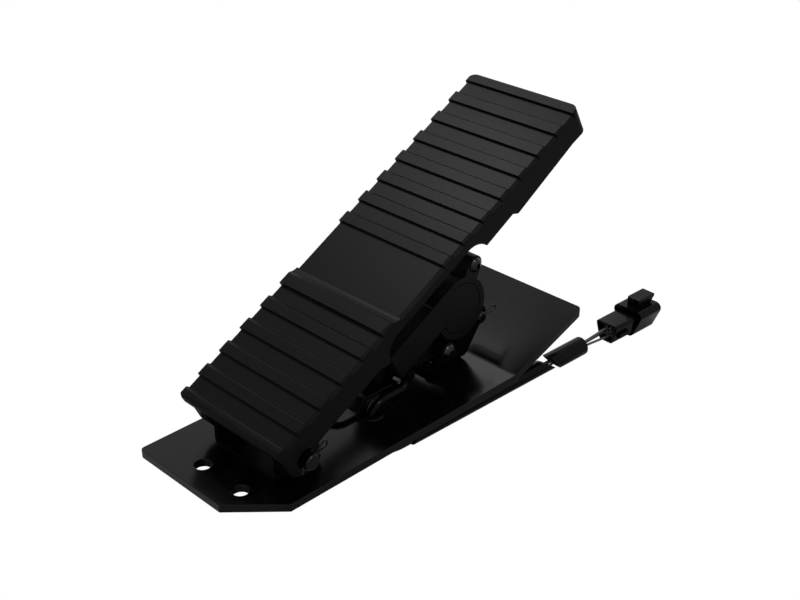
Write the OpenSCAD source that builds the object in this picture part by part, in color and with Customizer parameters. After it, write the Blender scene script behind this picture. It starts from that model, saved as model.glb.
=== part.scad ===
// Floor-mounted accelerator pedal with a position sensor and its lead.
// X runs across the pedal, Y from heel to toe, Z up. Lengths are in millimetres.
// The origin is midway between the two heel bolts, on the underside of the plate.

/* [Base plate] */
// Thickness of the plate
plate_t = 4.75; // [3:0.25:7]
// Reach of the plate to the left of the middle
plate_left = 51.7; // [46:0.1:60]
// Reach of the plate to the right of the middle
plate_right = 43.2; // [42:0.1:60]
// Front edge to the line of the heel bolts
plate_front = 15.7; // [12:0.1:30]
// Heel bolts to the bend
plate_bend = 185.4; // [183:0.1:210]
// Length of the turned-up toe flap
flap_len = 65.1; // [30:0.1:90]
// Upward angle of the toe flap
flap_angle = 19.7; // [5:0.1:30]
// Inside radius of the bend
bend_r = 8; // [4:0.5:14]
// Width of the cut-off front corner
chamfer_w = 25.3; // [5:0.1:26]
// Length of the cut-off front corner
chamfer_l = 26.4; // [5:0.1:40]
// Radius of the other corners
corner_r = 3; // [1:0.5:6]
// Distance between the heel bolts
bolt_spacing = 31.8; // [26:0.1:40]
// Radius of the heel bolt holes
bolt_r = 4.75; // [3:0.05:6]

/* [Heel pivot] */
// Pivot pin behind the heel bolts
pivot_y = 25.4; // [24:0.1:32]
// Height of the pivot pin
pivot_z = 23.7; // [22:0.1:28]
// Radius of the pivot pin
pin_r = 4.75; // [3.5:0.05:5.5]
// Length of the pivot pin past the treadle's right side
pin_tail = 3.8; // [3.3:0.1:6]
// Sheet thickness of the two brackets
sheet_t = 3; // [2:0.25:4]
// Width of a pivot lug of the treadle
lug_w = 9.8; // [9.2:0.1:11.5]
// Radius of the ear round the pin
ear_r = 9; // [7.5:0.1:10]

/* [Treadle] */
// Angle of the treadle at rest
treadle_angle = 28.8; // [27:0.1:30]
// Downward travel in degrees
travel = 13; // [6:0.5:13]
// Width of the treadle
treadle_w = 82.5; // [80:0.5:100]
// Tread surface above the pivot, square to the treadle
tread_top = 19.2; // [18.5:0.1:21]
// Reach of the heel end behind the pivot
heel_reach = 12.7; // [12:0.1:18]
// Reach of the toe end from the pivot
toe_reach = 247.5; // [235:0.5:280]
// Thickness of the side walls
wall_t = 4.4; // [3:0.1:6]
// Thickness of the tread, over its ribs
tread_t = 5.2; // [4.4:0.1:6]
// Depth of the side walls
skirt_depth = 16; // [14:0.1:17]
// Pitch of the ribs
rib_pitch = 17; // [16:0.1:17.5]
// Width of a rib
rib_w = 8.2; // [6:0.1:10]
// Height of a rib
rib_h = 1.6; // [0.8:0.1:2]
// Rise of the heel half of the tread
heel_rise = 1.1; // [0:0.1:2]
// Bevel along the sides of the tread
side_bevel = 1.2; // [0.5:0.1:1.8]
// Height of the side window above the wall's lower edge
window_h = 8; // [5:0.1:8.5]
// Radius of the pivot lugs
lug_r = 11.5; // [9:0.1:12]
// Wall of the pivot bushes
bush_wall = 1.4; // [1:0.1:2]

/* [Sensor housing] */
// Sensor shaft behind the heel bolts
sensor_y = 165.6; // [163:0.1:168]
// Height of the sensor shaft
sensor_z = 47.6; // [46:0.1:49]
// Right face of the sensor
sensor_right = 17; // [16.7:0.1:20]
// Thickness of the sensor
sensor_t = 11; // [9:0.1:12]
// Radius of the round end
lobe_r = 19.6; // [18:0.1:21]
// Length of the neck from the shaft
neck_len = 56.4; // [54:0.1:60]
// Lower edge of the neck above the shaft's line
neck_low = 0.4; // [0:0.1:3]
// Radius of the round cover
cover_r = 15.4; // [13.6:0.1:16]
// Thickness of the cover
cover_t = 3; // [2:0.1:4]
// Screw position along the neck's direction
screw_along = 21.1; // [20:0.1:22]
// Screw position square to the neck
screw_up = 16.5; // [15.5:0.1:17]
// Radius of the sensor screws
screw_r = 2.5; // [2:0.1:3]
// Radius of the sensor shaft
shaft_r = 4; // [3:0.1:4.5]
// Length of the sensor lever
lever_len = 88; // [84:0.5:92]
// Radius of the lever's roller
roller_r = 6; // [5:0.1:7]

/* [Rear bracket and strap] */
// Housing pin behind the heel bolts
rear_pin_y = 188; // [186:0.1:190]
// Height of the housing pin
rear_pin_z = 31; // [29:0.1:33]
// Radius of the housing pin
rear_pin_r = 3.5; // [2.5:0.1:4]
// Thickness of the housing's lug
rear_lug_t = 11; // [9:0.1:11.4]
// Radius of the rear ears and lug round the pin
rear_ear_r = 7; // [6:0.1:8]
// Width of the strap
strap_w = 18; // [14:0.1:18]
// Thickness of the strap
strap_t = 2.5; // [2:0.1:3]
// Height of the strap's upper face
strap_top = 14.7; // [14:0.1:15.5]

/* [Lead] */
// Radius of the cable
cable_r = 3.3; // [2.6:0.1:3.4]
// Radius of the conduit
conduit_r = 4.6; // [4.4:0.1:4.8]
// Length of the conduit
conduit_len = 122; // [70:1:126]
// Radius of the wire sleeve
sleeve_r = 6; // [5:0.1:7]
// Length of the wire sleeve
sleeve_len = 33; // [26:1:38]
// Radius of one wire
wire_r = 0.8; // [0.6:0.05:0.9]
// Length of the connector
connector_len = 42; // [40:1:48]

/* [Hidden] */
$fn = 48;

// Running clearance of a pin or shaft, and the gap between pieces that only lie close
run_fit = 0.04;
near_gap = 0.3;
side_gap = 0.25;

// Ribs: counted from the toe, with a plain stretch in the middle and a ridge below it
rib_count = 16;
last_rib_at = 3.3 - rib_pitch;
plain_ribs = [8, 9];
ridge_rib = 10;
ridge_extra = 0.6;
ridge_w = 7.5;
ridge_sweep_r = 8;
recess_bevel = 1.8;
function rib_at(k) = last_rib_at + (rib_count - 1 - k) * rib_pitch;

// Levels of the treadle above the pivot, square to it
tread_low = tread_top - tread_t;
skirt_low = tread_top - skirt_depth;
recess_top = tread_top - rib_h;
pad_t = 2;
pad_low = tread_low - pad_t;

// Widths outwards from the middle
wall_in = treadle_w / 2 - wall_t;
lug_in = wall_in - lug_w;
ear_out = lug_in - 0.6;
ear_in = ear_out - sheet_t;
bush_r = pin_r + run_fit + bush_wall;
notch_r = pin_r + 2.75;

// Plate and bracket heights
bracket_top = plate_t + sheet_t;
bracket_back = pivot_y + 21;
bend_start = plate_bend - bend_r * tan(flap_angle / 2);

// Roller, lever, housing and sensor: stacked along X from the left wall to the cover
lever_t = 5;
roller_w = 7;
roller_left = 4.8 - wall_in;
lever_left = roller_left + roller_w + 1;
lever_right = lever_left + lever_t;
housing_left = lever_right + 4;
sensor_left = sensor_right - sensor_t;
boss_r = 5.6;
cavity_r = 13;

// The shaft seen from the pivot: distance, and angle below the treadle
shaft_reach = norm([sensor_y - pivot_y, sensor_z - pivot_z]);
shaft_drop = treadle_angle - atan2(sensor_z - pivot_z, sensor_y - pivot_y);

// The lever's roller starts this far from the wear pad, so that it stays clear in mid travel
roller_gap = 0.85;
roller_height = shaft_reach * sin(shaft_drop) + pad_low - roller_r - roller_gap;
lever_angle = 180 + treadle_angle - asin(roller_height / lever_len);

// Bumper that meets the tread at full travel
bumper_at = -6;
bumper_x = -4;
stop_height = shaft_reach * sin(shaft_drop - travel) + tread_low - near_gap;
bumper_top = (stop_height - bumper_at * sin(travel)) / cos(travel);

// Strap, rear bracket and lead places
strap_right = 9.6;
strap_mid = strap_right - strap_w / 2;
strap_end = 120.6;
strap_foot_front = 72;
rear_in = rear_lug_t / 2 + side_gap;
rear_out = rear_in + sheet_t;
rear_base_front = 148;
rear_base_back = 178;
lead_x = 13.1;
gland_y = 124.4;
gland_low = 17.6;
hole_y = 96;
grommet_r = 6.2;

// Cable route: out of the gland, along the strap, through the plate and round to the conduit
cable_route = [
  [13.1, 124.4, 20.6], [13.1, 124.4, 17.4], [13.1, 124, 15.1], [13.1, 122.8, 13], [13.1, 120.8, 11.7],
  [13.1, 118, 11.2], [13.1, 113, 11.2], [13.1, 108, 11.2], [13.1, 104.4, 10.9],
  [13.1, 101.2, 10], [13.1, 98.6, 8.4], [13.1, 96.8, 6.2], [13.1, 96, 3.6],
  [13.1, 95.7, 1], [13.2, 95.4, -1.6], [13.8, 94.6, -4.1], [15.3, 93.6, -6.4],
  [17.6, 92.6, -8.2], [20.5, 92, -9.3], [23.7, 91.8, -9.7], [26.9, 92.4, -9.3],
  [29.6, 93.9, -8.4], [31.8, 96.3, -7.2], [33.4, 99.3, -6.1], [34.3, 102.6, -5.3],
  [34.6, 106, -4.9]
];
// Lead: a straight line from the end of that route, turned a little outwards
lead_start = [34.6, 106, -4.9];
lead_yaw = -1.9;
conduit_slant = 14;
sleeve_slant = 11;
cable_tail = conduit_len - conduit_slant - 2;
sleeve_at = conduit_len - 7.5;
connector_at = sleeve_at + sleeve_len + 25.5;
rear_len = 21;
wire_ring = 1.4;
seat_ring = 2.8;
wire_turn = [90, 210, 330];

// Unit vector
function unit(v) = v / norm(v);

// Points on an arc
function arc(c, r, a0, a1, n) = [for (i = [0:n]) c + r * [cos(a0 + (a1 - a0) * i / n), sin(a0 + (a1 - a0) * i / n)]];

// One corner of an outline, rounded with radius r
function round_at(a, b, c, r, n) =
  let (
    u = unit(a - b),
    v = unit(c - b),
    half = acos(u * v) / 2,
    mid = b + unit(u + v) * r / sin(half),
    p = b + u * r / tan(half),
    q = b + v * r / tan(half),
    a0 = atan2(p[1] - mid[1], p[0] - mid[0]),
    a1 = atan2(q[1] - mid[1], q[0] - mid[0]),
    turn = a1 - a0 > 180 ? a1 - a0 - 360 : (a1 - a0 < -180 ? a1 - a0 + 360 : a1 - a0)
  )
  arc(mid, r, a0, a0 + turn, n);

// An outline with all its corners rounded
function rounded(pts, r, n = 5) =
  let (m = len(pts))
  [for (i = [0:m - 1]) each round_at(pts[(i + m - 1) % m], pts[i], pts[(i + 1) % m], r, n)];

// Where a line from p touches a circle, on its left side (s = 1) or right side (s = -1)
function touch(p, c, r, s) =
  let (
    d = norm(c - p),
    a = atan2(c[1] - p[1], c[0] - p[0]) + s * asin(r / d)
  )
  p + sqrt(d * d - r * r) * [cos(a), sin(a)];

// Direction of a path at point i, and a side vector carried along it without twist
function heading(path, i) = unit(path[min(i + 1, len(path) - 1)] - path[max(i - 1, 0)]);
function carried(path, i) =
  i == 0
  ? unit(cross(heading(path, 0), [0.3, 0.4, 0.9]))
  : let (t = heading(path, i), s = carried(path, i - 1)) unit(s - (s * t) * t);

// A tube of flat-sided rings along a path
module tube(path, r, sides) {
  last = len(path) - 1;
  rings = [
    for (i = [0:last])
      let (t = heading(path, i), s = carried(path, i), b = cross(t, s))
        for (j = [0:sides - 1]) path[i] + r * (cos(360 * j / sides) * s + sin(360 * j / sides) * b)
  ];
  skin = [
    for (i = [0:last - 1])
      for (j = [0:sides - 1])
        let (k = (j + 1) % sides)
          [i * sides + j, (i + 1) * sides + j, (i + 1) * sides + k, i * sides + k]
  ];
  start_cap = [for (j = [0:sides - 1]) j];
  end_cap = [for (j = [sides - 1:-1:0]) last * sides + j];
  polyhedron(points = rings, faces = concat(skin, [start_cap, end_cap]));
}

// A side view, drawn in Y and Z, made solid from x0 to x1
module across(x0, x1) {
  translate([x0, 0, 0])
    rotate([90, 0, 90])
      linear_extrude(x1 - x0)
        children();
}

// A front view, drawn in X and Z, made solid from y0 to y1
module along(y0, y1) {
  translate([0, y1, 0])
    rotate([90, 0, 0])
      linear_extrude(y1 - y0)
        children();
}

// A round bar along X
module bar(x0, x1, r) {
  translate([x0, 0, 0])
    rotate([0, 90, 0])
      cylinder(h = x1 - x0, r = r);
}

// Places: the treadle's pivot, the sensor's shaft, the housing pin, the lead's line
module at_pivot() {
  translate([0, pivot_y, pivot_z])
    rotate([treadle_angle, 0, 0])
      children();
}

module at_sensor() {
  translate([0, sensor_y, sensor_z])
    rotate([treadle_angle, 0, 0])
      children();
}

module at_rear_pin() {
  translate([0, rear_pin_y, rear_pin_z])
    children();
}

module at_lever() {
  translate([0, sensor_y, sensor_z])
    rotate([lever_angle, 0, 0])
      children();
}

module on_lead() {
  translate(lead_start)
    rotate([0, 0, lead_yaw])
      children();
}

// What a rounded upright corner takes away
module corner_cut(x, y, sx, sy, r) {
  translate([x - sx * r, y - sy * r, -20])
    linear_extrude(120)
      difference() {
        translate([sx * (r + 1) / 2, sy * (r + 1) / 2])
          square(r + 1, center = true);
        circle(r);
      }
}

// Folded U of sheet, seen from the front, standing on its base
module fold(half_w, h, r) {
  translate([-half_w, r])
    square([2 * half_w, h - r]);
  translate([r - half_w, 0])
    square([2 * (half_w - r), h]);
  for (s = [-1, 1]) {
    translate([s * (half_w - r), r])
      circle(r);
  }
}

module folded_u(half_w, h) {
  inner_r = 1.5;
  difference() {
    fold(half_w, h, inner_r + sheet_t);
    translate([0, sheet_t])
      fold(half_w - sheet_t, h, inner_r);
  }
}

// Button-head screw with a hexagon socket, head up, seated at z = 0
module button_screw(r, length) {
  head_r = r * 1.8;
  head_h = r * 1.15;
  dome_r = (head_r * head_r + 0.64 * head_h * head_h) / (1.6 * head_h);
  difference() {
    union() {
      intersection() {
        cylinder(h = head_h, r = head_r);
        translate([0, 0, head_h - dome_r])
          sphere(dome_r);
      }
      translate([0, 0, -length])
        cylinder(h = length + 0.1, r = r);
    }
    translate([0, 0, head_h * 0.4])
      cylinder(h = head_h, r = r * 0.68, $fn = 6);
  }
}

// Split pin through a pin of radius r: one wire with a long eye and two bent tails
module cotter(r, hole_r, eye_at) {
  wire = hole_r / 2 - 0.08;
  half = wire + 0.03;
  neck = r + 1;
  tail = 2.6;
  spread = 38;
  tip = [-neck - tail * cos(spread), half + tail * sin(spread)];
  side = concat(
    [tip, [-neck, half], [neck, half]],
    arc([eye_at + 1.4, 0], 1.9, 125, -125, 12),
    [[neck, -half], [-neck, -half], [tip[0], -tip[1]]]
  );
  tube([for (p = side) [0, p[0], p[1]]], wire, 8);
}

// Torsion spring on the pivot pin, mirrored for the right side
module return_spring(side) {
  coil_r = 8.2;
  wire = 1.1;
  inner_x = bracket_screw_x - 1.8 * bracket_screw_r - wire - 1;
  outer_x = ear_in - wire - 1.7;
  foot_slope = 20;
  arm_slope = 10;
  foot_drop = pivot_z - bracket_top - wire - near_gap;
  foot_len = (foot_drop - coil_r * cos(foot_slope)) / sin(foot_slope);
  arm_len = (tread_low - wire - near_gap - coil_r * cos(arm_slope)) / sin(arm_slope);
  a0 = -90 - foot_slope;
  a1 = 90 + arm_slope + treadle_angle;
  sweep = 3 * 360 + a1 - a0 - 360;
  turns = 1440 - (a1 - a0);
  steps = 64;
  foot = coil_r * [cos(a0), sin(a0)] + foot_len * [cos(foot_slope), -sin(foot_slope)];
  arm_dir = arm_slope + treadle_angle;
  arm = coil_r * [cos(a1), sin(a1)] + arm_len * [cos(arm_dir), sin(arm_dir)];
  coil = [
    for (i = [0:steps])
      [
        inner_x + (outer_x - inner_x) * i / steps,
        coil_r * cos(a0 - turns * i / steps),
        coil_r * sin(a0 - turns * i / steps)
      ]
  ];
  path = concat([[inner_x, foot[0], foot[1]]], coil, [[outer_x, arm[0], arm[1]]]);
  translate([0, pivot_y, pivot_z])
    mirror([side < 0 ? 1 : 0, 0, 0])
      tube(path, wire, 8);
}

// Base: bent plate
module plate_side() {
  low = arc([bend_start, plate_t + bend_r], bend_r + plate_t, -90, flap_angle - 90, 6);
  high = arc([bend_start, plate_t + bend_r], bend_r, flap_angle - 90, -90, 6);
  flap = (flap_len - bend_r * tan(flap_angle / 2)) * [cos(flap_angle), sin(flap_angle)];
  polygon(concat(
    [[-plate_front, 0]], low, [low[6] + flap, high[0] + flap], high, [[-plate_front, plate_t]]
  ));
}

module base_plate() {
  toe_y = plate_bend + flap_len * cos(flap_angle);
  color([0.13, 0.13, 0.14])
    difference() {
      across(-plate_left, plate_right)
        plate_side();
      corner_cut(-plate_left, -plate_front, -1, -1, corner_r);
      corner_cut(-plate_left, toe_y, -1, 1, corner_r);
      corner_cut(plate_right, toe_y, 1, 1, corner_r);
      translate([0, 0, -1])
        linear_extrude(plate_t + 2)
          polygon([
            [plate_right - chamfer_w, -plate_front - 0.01],
            [plate_right + 1, -plate_front - 0.01],
            [plate_right + 1, chamfer_l - plate_front + chamfer_l / chamfer_w],
          ]);
      for (s = [-1, 1]) {
        translate([s * bolt_spacing / 2, 0, -1])
          cylinder(h = plate_t + 2, r = bolt_r);
        translate([s * bracket_screw_x, bracket_screw_y, -1])
          cylinder(h = plate_t + 2, r = bracket_screw_r + run_fit);
      }
      for (y = rear_screw_at) {
        translate([0, y, -1])
          cylinder(h = plate_t + 2, r = rear_screw_r + run_fit);
      }
      translate([strap_mid, strap_low_screw, -1])
        cylinder(h = plate_t + 2, r = strap_screw_r + run_fit);
      translate([lead_x, hole_y, -1])
        cylinder(h = plate_t + 2, r = grommet_r);
    }
}

// Pivot bracket: a folded U whose ears carry the heel pin
bracket_screw_x = ear_in - 6.7;
bracket_screw_y = pivot_y + 14.8;
bracket_screw_r = 2.8;
module pivot_ear_side() {
  c = [pivot_y, pivot_z];
  back = touch([bracket_back, bracket_top + 1], c, ear_r, -1);
  polygon([
    [pivot_y - ear_r, plate_t], [bracket_back, plate_t], [bracket_back, bracket_top + 1],
    back, c, [pivot_y - ear_r, pivot_z]
  ]);
  translate(c)
    circle(ear_r);
}

module pivot_bracket() {
  color([0.15, 0.15, 0.16])
    difference() {
      intersection() {
        translate([0, 0, plate_t])
          along(pivot_y - ear_r, bracket_back)
            folded_u(ear_out, pivot_z + ear_r);
        across(-ear_out, ear_out)
          pivot_ear_side();
      }
      translate([0, pivot_y, pivot_z])
        bar(-ear_out - 1, ear_out + 1, pin_r + run_fit);
      for (s = [-1, 1]) {
        translate([s * bracket_screw_x, bracket_screw_y, plate_t - 1])
          cylinder(h = sheet_t + 2, r = bracket_screw_r + 0.2);
      }
    }
}

module bracket_screws() {
  color([0.55, 0.55, 0.57])
    for (s = [-1, 1]) {
      translate([s * bracket_screw_x, bracket_screw_y, bracket_top])
        button_screw(bracket_screw_r, sheet_t + plate_t - 0.4);
    }
}

// Headed pin along X: shank from x0 to x1, head on the left, hole for the split pin
module clevis_pin(r, x0, x1, head_r, head_t, hole_x, hole_r, turn) {
  edge = 0.7;
  difference() {
    rotate([0, 90, 0])
      rotate_extrude()
        polygon([
          [0, x0 - head_t], [head_r - 0.4, x0 - head_t], [head_r, x0 - head_t + 0.4], [head_r, x0],
          [r, x0], [r, x1 - edge], [r - edge, x1], [0, x1]
        ]);
    translate([hole_x, 0, 0])
      rotate([turn - 90, 0, 0])
        cylinder(h = 3 * r, r = hole_r, center = true);
  }
}

// Heel pin, spacing washer and split pin, which stands clear of the treadle's side
cotter_hole_r = 1.3;
cotter_turn = 29;
washer_at = wall_in + 0.15;
heel_cotter_at = treadle_w / 2 + 0.9;
module heel_pin() {
  color([0.45, 0.45, 0.47])
    translate([0, pivot_y, pivot_z])
      clevis_pin(
        pin_r, -wall_in - side_gap, treadle_w / 2 + pin_tail, notch_r - 0.9, 3,
        heel_cotter_at, cotter_hole_r, cotter_turn
      );
}

module heel_washer() {
  color([0.4, 0.4, 0.42])
    translate([0, pivot_y, pivot_z])
      difference() {
        bar(washer_at, heel_cotter_at - 0.6, pin_r + 1.2);
        bar(washer_at - 1, heel_cotter_at, pin_r + run_fit);
      }
}

module heel_cotter() {
  color([0.6, 0.6, 0.62])
    translate([heel_cotter_at, pivot_y, pivot_z])
      rotate([cotter_turn, 0, 0])
        cotter(pin_r, cotter_hole_r, 10.1);
}

module return_spring_left() {
  color([0.3, 0.3, 0.32])
    return_spring(-1);
}

module return_spring_right() {
  color([0.3, 0.3, 0.32])
    return_spring(1);
}

// Rear bracket: a narrow folded U whose ears lean back to the housing pin
rear_screw_at = [rear_base_front + 6, rear_base_front + 17];
rear_screw_r = 2;
module rear_ear_side() {
  c = [rear_pin_y, rear_pin_z];
  front = touch([rear_base_front + 4, bracket_top + 3], c, rear_ear_r, 1);
  back = touch([rear_base_back, plate_t], c, rear_ear_r, -1);
  polygon([
    [rear_base_front, plate_t], [rear_base_back, plate_t], back, c, front,
    [rear_base_front + 4, bracket_top + 3], [rear_base_front, bracket_top + 1]
  ]);
  translate(c)
    circle(rear_ear_r);
}

module rear_bracket() {
  color([0.15, 0.15, 0.16])
    difference() {
      intersection() {
        translate([0, 0, plate_t])
          along(rear_base_front, rear_pin_y + rear_ear_r)
            folded_u(rear_out, rear_pin_z + rear_ear_r);
        across(-rear_out, rear_out)
          rear_ear_side();
      }
      at_rear_pin()
        bar(-rear_out - 1, rear_out + 1, rear_pin_r + run_fit);
      for (y = rear_screw_at) {
        translate([0, y, plate_t - 1])
          cylinder(h = sheet_t + 2, r = rear_screw_r + 0.2);
      }
    }
}

module rear_screws() {
  color([0.55, 0.55, 0.57])
    for (y = rear_screw_at) {
      translate([0, y, bracket_top])
        button_screw(rear_screw_r, sheet_t + plate_t - 0.4);
    }
}

// Front strap: a foot on the plate, an S bend and a flange under the housing
strap_screw_r = 2.2;
strap_low_screw = strap_foot_front + 7;
strap_high_screw = strap_end - 5;
foot_top = plate_t + strap_t;
module strap_side() {
  bend = 4;
  rise = strap_top - foot_top;
  steep = 50;
  run = (rise - 2 * (bend + strap_t / 2) * (1 - cos(steep))) / sin(steep);
  y0 = 86.5;
  c0 = [y0, foot_top + bend];
  y1 = y0 + 2 * (bend + strap_t / 2) * sin(steep) + run * cos(steep);
  c1 = [y1, strap_top - strap_t - bend];
  polygon(concat(
    [[strap_foot_front, plate_t]],
    arc(c0, bend + strap_t, -90, steep - 90, 5),
    arc(c1, bend, 90 + steep, 90, 5),
    [[strap_end, strap_top - strap_t], [strap_end, strap_top]],
    arc(c1, bend + strap_t, 90, 90 + steep, 5),
    arc(c0, bend, steep - 90, -90, 5),
    [[strap_foot_front, foot_top]]
  ));
}

module front_strap() {
  left = strap_right - strap_w;
  color([0.16, 0.16, 0.17])
    difference() {
      across(left, strap_right)
        strap_side();
      for (s = [-1, 1]) {
        corner_cut(strap_mid + s * strap_w / 2, strap_foot_front, s, -1, strap_w / 2 - 1);
      }
      translate([strap_mid, strap_low_screw, plate_t - 1])
        cylinder(h = strap_t + 2, r = strap_screw_r + 0.2);
      translate([strap_mid, strap_high_screw, strap_top - strap_t - 1])
        cylinder(h = strap_t + 2, r = strap_screw_r + 0.2);
    }
}

module strap_screws() {
  color([0.55, 0.55, 0.57]) {
    translate([strap_mid, strap_low_screw, foot_top])
      button_screw(strap_screw_r, strap_t + plate_t - 0.4);
    translate([strap_mid, strap_high_screw, strap_top - strap_t])
      mirror([0, 0, 1])
        button_screw(strap_screw_r, strap_t + 4);
  }
}

// Outline shared by the cast housing and the sensor, drawn about the shaft, and the flange below
flange_start = 12.4;
module flange_outline() {
  polygon([
    [flange_start - neck_len, neck_low + 1], [flange_start - neck_len + 2.6, -12.4],
    [-screw_along - 2.5, -screw_up - 5], [-2, -lobe_r + 0.5], [0, neck_low + 1]
  ]);
}

module housing_outline() {
  circle(lobe_r);
  translate([-neck_len, neck_low])
    square([neck_len, lobe_r - neck_low]);
  for (s = [-1, 1]) {
    translate([s * screw_along, s * screw_up])
      circle(boss_r);
    rotate(s * atan2(screw_up, screw_along) + (s < 0 ? 180 : 0))
      translate([0, -boss_r])
        square([norm([screw_along, screw_up]), 2 * boss_r]);
  }
}

// Cast housing: shell, bearing boss, lug for the housing pin and foot on the strap
module housing_foot_side() {
  polygon([
    [strap_end - 9, strap_top], [strap_end, strap_top], [strap_end + 3.4, strap_top + 3.8],
    [strap_end + 18, strap_top + 3.8], [strap_end + 18, 36], [strap_end - 4, 34], [strap_end - 6, 24]
  ]);
}

module rear_lug_side() {
  reach = norm([rear_pin_y - sensor_y, rear_pin_z - sensor_z]);
  translate([sensor_y, sensor_z])
    rotate(atan2(rear_pin_z - sensor_z, rear_pin_y - sensor_y))
      translate([0, -rear_ear_r])
        square([reach, 2 * rear_ear_r]);
  translate([rear_pin_y, rear_pin_z])
    circle(rear_ear_r);
}

module mechanism_housing() {
  floor_t = 4;
  color([0.14, 0.14, 0.15])
    difference() {
      union() {
        difference() {
          union() {
            at_sensor()
              across(housing_left, sensor_left) {
                housing_outline();
                flange_outline();
              }
            at_sensor()
              across(housing_left + 2, sensor_left - 2)
                polygon([
                  [1.5 - neck_len, lobe_r - 1], [15 - neck_len, lobe_r - 1],
                  [14 - neck_len, lobe_r + 2.6], [2.5 - neck_len, lobe_r + 2.6]
                ]);
            across(strap_mid - 7, strap_mid + 5)
              housing_foot_side();
          }
          at_sensor()
            bar(housing_left + floor_t, sensor_left + 1, cavity_r);
          at_sensor()
            across(housing_left + floor_t, sensor_left + 1)
              polygon(rounded([
                [4 - neck_len, neck_low + 7], [-8, neck_low + 7],
                [-8, lobe_r - 4], [4 - neck_len, lobe_r - 4]
              ], 1.5));
        }
        at_sensor()
          bar(housing_left + 1, housing_left + 10, shaft_r + 4.4);
        intersection() {
          across(-rear_lug_t / 2, rear_lug_t / 2)
            rear_lug_side();
          difference() {
            translate([-30, sensor_y - 40, -10])
              cube([60, 100, 100]);
            at_sensor() {
              bar(-30, 30, cavity_r);
              bar(sensor_left, 30, lobe_r + near_gap);
            }
          }
        }
      }
      at_sensor() {
        bar(housing_left - 1, housing_left + 12, shaft_r + 1.6);
        for (s = [-1, 1]) {
          translate([0, s * screw_along, s * screw_up])
            bar(sensor_left - 9, sensor_left + 1, screw_r + run_fit);
        }
      }
      at_rear_pin()
        bar(-rear_lug_t, rear_lug_t, rear_pin_r + run_fit);
      translate([strap_mid, strap_high_screw, strap_top - 1])
        cylinder(h = 6, r = strap_screw_r + run_fit);
    }
}

// Housing pin with its washer and split pin, right of the right ear
rear_washer_at = rear_out + 0.1;
rear_cotter_hole = 1;
rear_cotter_at = rear_washer_at + 1.2 + rear_cotter_hole;
rear_cotter_turn = 5;
module housing_pin() {
  color([0.45, 0.45, 0.47])
    at_rear_pin()
      clevis_pin(
        rear_pin_r, -rear_out - 0.1, rear_cotter_at + 3, rear_pin_r + 2, 2.4,
        rear_cotter_at, rear_cotter_hole, rear_cotter_turn
      );
}

module housing_washer() {
  color([0.3, 0.3, 0.32])
    at_rear_pin()
      difference() {
        bar(rear_washer_at, rear_washer_at + 1.2, rear_ear_r);
        bar(rear_washer_at - 1, rear_washer_at + 3, rear_pin_r + run_fit);
      }
}

module housing_cotter() {
  color([0.6, 0.6, 0.62])
    translate([rear_cotter_at, rear_pin_y, rear_pin_z])
      rotate([rear_cotter_turn, 0, 0])
        cotter(rear_pin_r, rear_cotter_hole, 11);
}

// Cover outline: a disc over the shaft and the whole neck
module cover_outline(grow) {
  circle(cover_r + grow);
  translate([-neck_len - grow, neck_low - grow])
    square([neck_len + grow, lobe_r - neck_low + 2 * grow]);
}

// Sensor: body with a pocket for the cover, and a well for the circuit board
pocket_left = sensor_right - cover_t;
seal_t = 0.8;
module sensor_body() {
  color([0.12, 0.12, 0.13])
    difference() {
      at_sensor()
        difference() {
          union() {
            across(sensor_left, sensor_right)
              housing_outline();
            across(sensor_left, sensor_left + 3)
              flange_outline();
          }
          across(pocket_left, sensor_right + 1)
            cover_outline(0.35);
          bar(sensor_left + 2.5, sensor_right, cavity_r);
          difference() {
            bar(pocket_left - seal_t, sensor_right, cover_r - 0.3);
            bar(sensor_left, sensor_right, cover_r - 1.7);
          }
          for (s = [-1, 1]) {
            translate([0, s * screw_along, s * screw_up])
              bar(sensor_left - 1, sensor_right + 1, screw_r + 0.15);
          }
        }
      translate([spigot_x, gland_y, gland_low])
        cylinder(h = 12, r = spigot_r + run_fit);
    }
}

module sensor_cover() {
  edge = 0.8;
  color([0.12, 0.12, 0.13])
    at_sensor()
      difference() {
        across(pocket_left, sensor_right)
          cover_outline(0);
        translate([sensor_right, -neck_len, 0])
          rotate([0, 0, 45])
            translate([-edge, -edge, -50])
              cube([2 * edge, 2 * edge, 100]);
      }
}

module cover_seal() {
  color([0.35, 0.12, 0.1])
    at_sensor()
      difference() {
        bar(pocket_left - seal_t, pocket_left, cover_r - 0.35);
        bar(pocket_left - 2, pocket_left + 1, cover_r - 1.65);
      }
}

module sensor_screws() {
  color([0.62, 0.62, 0.64])
    at_sensor()
      for (s = [-1, 1]) {
        translate([sensor_right, s * screw_along, s * screw_up])
          rotate([0, 90, 0])
            button_screw(screw_r, sensor_t + 7);
      }
}

module circuit_board() {
  color([0.1, 0.3, 0.15])
    at_sensor()
      difference() {
        bar(sensor_left + 2.6, sensor_left + 4.2, cavity_r - 0.2);
        translate([sensor_left, -2, cavity_r - 3])
          cube([8, 4, 4]);
      }
}

module shaft_bush() {
  color([0.6, 0.5, 0.3])
    at_sensor()
      difference() {
        bar(housing_left, housing_left + 10, shaft_r + 1.58);
        bar(housing_left - 1, housing_left + 12, shaft_r + run_fit);
      }
}

// Rubber bumper on top of the housing
module stop_bumper() {
  base_r = 6;
  color([0.08, 0.08, 0.08])
    at_sensor()
      translate([bumper_x, bumper_at, lobe_r]) {
        cylinder(h = bumper_top - lobe_r - 2, r1 = base_r, r2 = base_r - 1);
        translate([0, 0, bumper_top - lobe_r - 2])
          intersection() {
            cylinder(h = 2, r = base_r - 1);
            translate([0, 0, 2 - 8])
              sphere(8);
          }
      }
}

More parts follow.
